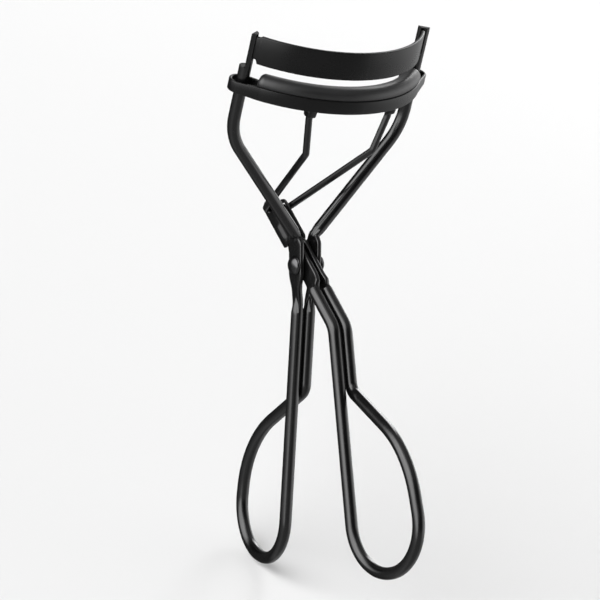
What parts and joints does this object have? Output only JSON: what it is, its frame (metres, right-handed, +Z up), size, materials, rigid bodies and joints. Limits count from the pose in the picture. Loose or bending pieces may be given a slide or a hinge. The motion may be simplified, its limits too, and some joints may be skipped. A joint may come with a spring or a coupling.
{
  "type": "eyelash curler",
  "caption": "Hand-held eyelash curler: curved clamp with a soft pad sliding on two wire posts, worked by scissor handles with finger loops.",
  "frame": {"origin": "middle of the object's bounding box at rest", "axes": "+X along the jaw's chord, to the right seen from the convex side; -Y the convex side of the jaw; +Z up along the two posts"},
  "size_m": [0.0428, 0.0642, 0.1044],
  "materials": {
    "frame_coating": "gloss black coating on steel wire",
    "plate_coating": "satin black coating on sheet steel",
    "rivet_coating": "gloss black coating on steel rivet",
    "lever_coating": "gloss black coating on steel wire",
    "yoke_coating": "gloss black coating on sheet steel",
    "channel_coating": "satin black coating on sheet steel",
    "pad_silicone": "satin black silicone rubber",
    "ear_coating": "gloss black coating on steel",
    "link_coating": "gloss black coating on thin steel wire"
  },
  "bodies": {
    "frame": {"frame_wire": "frame_coating", "upper_jaw_plate": "plate_coating", "pivot_rivet": "rivet_coating"},
    "lever": {"lever_wire": "lever_coating", "lever_yoke": "yoke_coating"},
    "lower_jaw": {"lower_jaw_channel": "channel_coating", "curling_pad": "pad_silicone", "link_ear_left": "ear_coating", "link_ear_right": "ear_coating"},
    "link": {"link_wire": "link_coating"}
  },
  "joints": [
    {"name": "handle_pivot", "type": "hinge", "parent": "frame", "child": "lever", "pos_m": [0, 0.01809, 0.00747], "axis": [1, 0, 0], "range_deg": [-18, 5]},
    {"name": "jaw_slide", "type": "slide", "parent": "frame", "child": "lower_jaw", "axis": [0, 0, 1], "range_m": [-0.00478, 0.00133]},
    {"name": "link_hinge", "type": "hinge", "parent": "lower_jaw", "child": "link", "pos_m": [0, 0.01559, 0.03937], "axis": [1, 0, 0], "range_deg": [-0.84, 3]}
  ],
  "couplings": [
    {"joint": "jaw_slide", "follows": "handle_pivot", "m_per_rad": 0.01522},
    {"joint": "link_hinge", "follows": "handle_pivot", "ratio": -0.1664}
  ]
}
